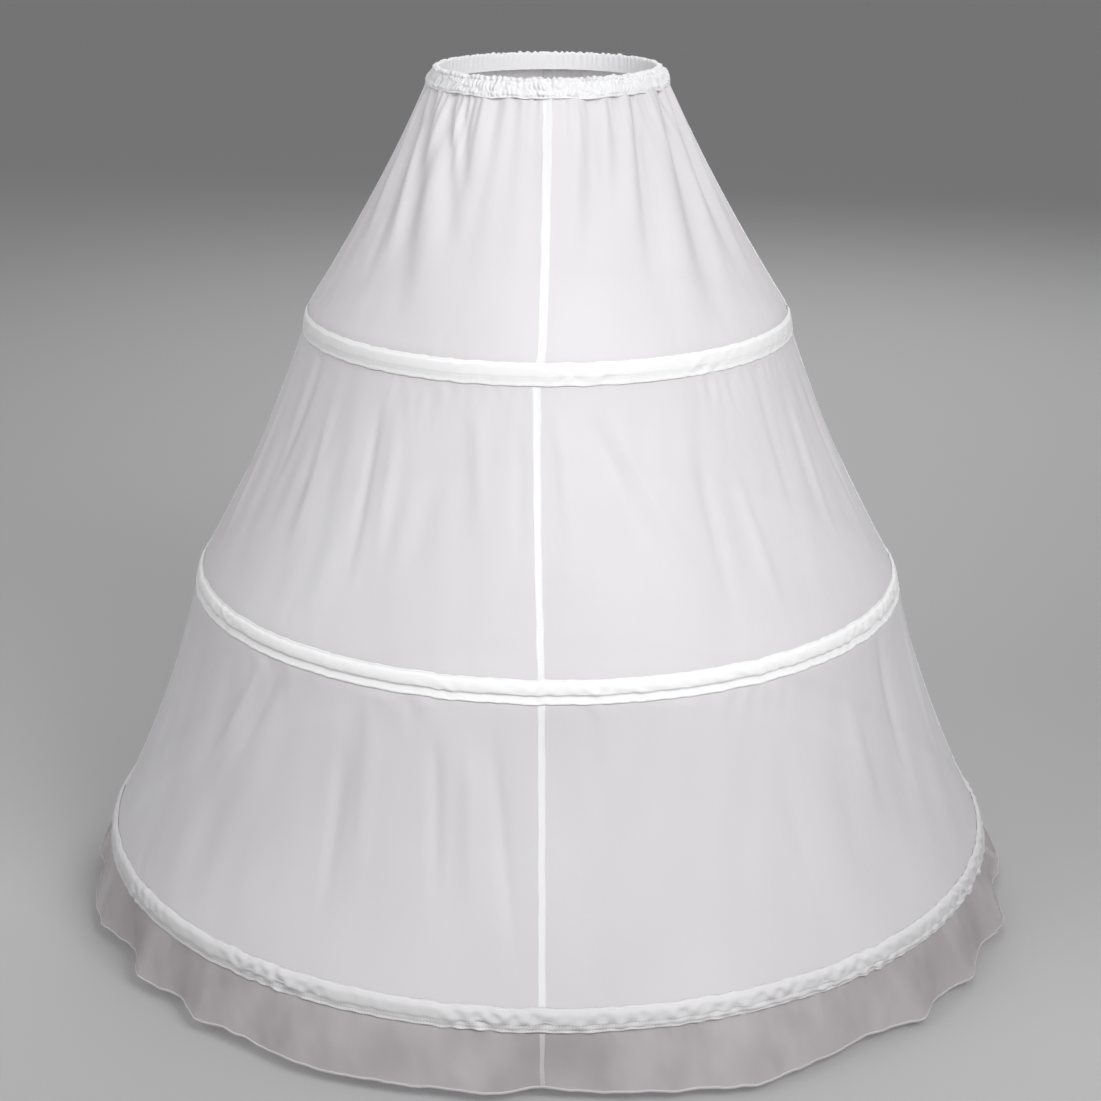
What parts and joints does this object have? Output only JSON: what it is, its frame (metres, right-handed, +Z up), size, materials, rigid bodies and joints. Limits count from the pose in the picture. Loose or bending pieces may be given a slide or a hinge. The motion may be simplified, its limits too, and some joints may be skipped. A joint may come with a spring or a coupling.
{
  "type": "crinoline cage",
  "caption": "White sheer hooped crinoline cage with a gathered elastic waistband, steel hoops in taped casings and a fluted bottom flounce.",
  "frame": {"origin": "centre of the waist, at half the height of the waistband", "axes": "+Z up along the body, -Y towards the front, +X to the right of someone facing the front"},
  "size_m": [1.0582, 1.0582, 0.916],
  "materials": {
    "gathered_cloth": "white gathered cloth",
    "sheer_cloth": "sheer white net lining with a fine weave",
    "flounce_cloth": "sheer white, one layer",
    "seam_tape": "bound white allowances",
    "casing_tape": "close-woven white tape",
    "elastic": "white ribbed knit elastic",
    "coated_steel": "white coated spring steel",
    "joiner_steel": "bright crimped sleeve"
  },
  "bodies": {
    "root": {"waistband": "gathered_cloth", "waist_elastic": "elastic", "front_right_gore": "sheer_cloth", "back_right_gore": "sheer_cloth", "back_left_gore": "sheer_cloth", "front_left_gore": "sheer_cloth", "front_right_flounce": "flounce_cloth", "back_right_flounce": "flounce_cloth", "back_left_flounce": "flounce_cloth", "front_left_flounce": "flounce_cloth", "centre_front_seam": "seam_tape", "right_side_seam": "seam_tape", "centre_back_seam": "seam_tape", "left_side_seam": "seam_tape", "upper_casing": "casing_tape", "middle_casing": "casing_tape", "lower_casing": "casing_tape", "upper_bone": "coated_steel", "middle_bone": "coated_steel", "lower_bone": "coated_steel", "upper_joiner": "joiner_steel", "middle_joiner": "joiner_steel", "lower_joiner": "joiner_steel"}
  },
  "joints": []
}
